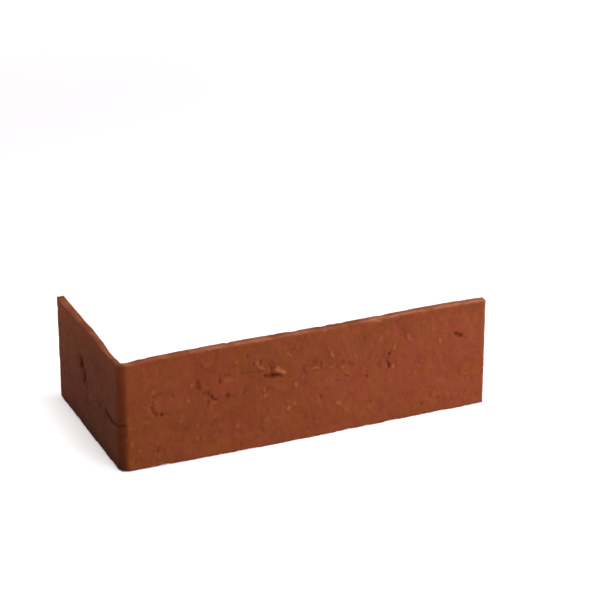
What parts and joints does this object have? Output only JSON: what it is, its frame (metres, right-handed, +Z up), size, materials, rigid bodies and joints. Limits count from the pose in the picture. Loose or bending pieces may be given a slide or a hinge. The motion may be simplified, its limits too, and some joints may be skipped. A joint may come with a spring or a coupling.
{
  "type": "corner brick slip",
  "caption": "Thin L-shaped fired-clay facing tile that wraps an outside wall corner, so a tiled wall looks like whole bricks turned round the corner.",
  "frame": {"origin": "centre of the bounding box on the bed, the lower long edge that the slip stands on", "axes": "+X along the long leg away from the outer corner, +Y along the short leg away from the outer corner, +Z up across the course height"},
  "size_m": [0.24, 0.115, 0.0716],
  "materials": {
    "fired_clay": "matt, rough moulded red clay with creases, pits and lighter worn arrises"
  },
  "bodies": {
    "root": {"corner_slip": "fired_clay"}
  },
  "joints": []
}
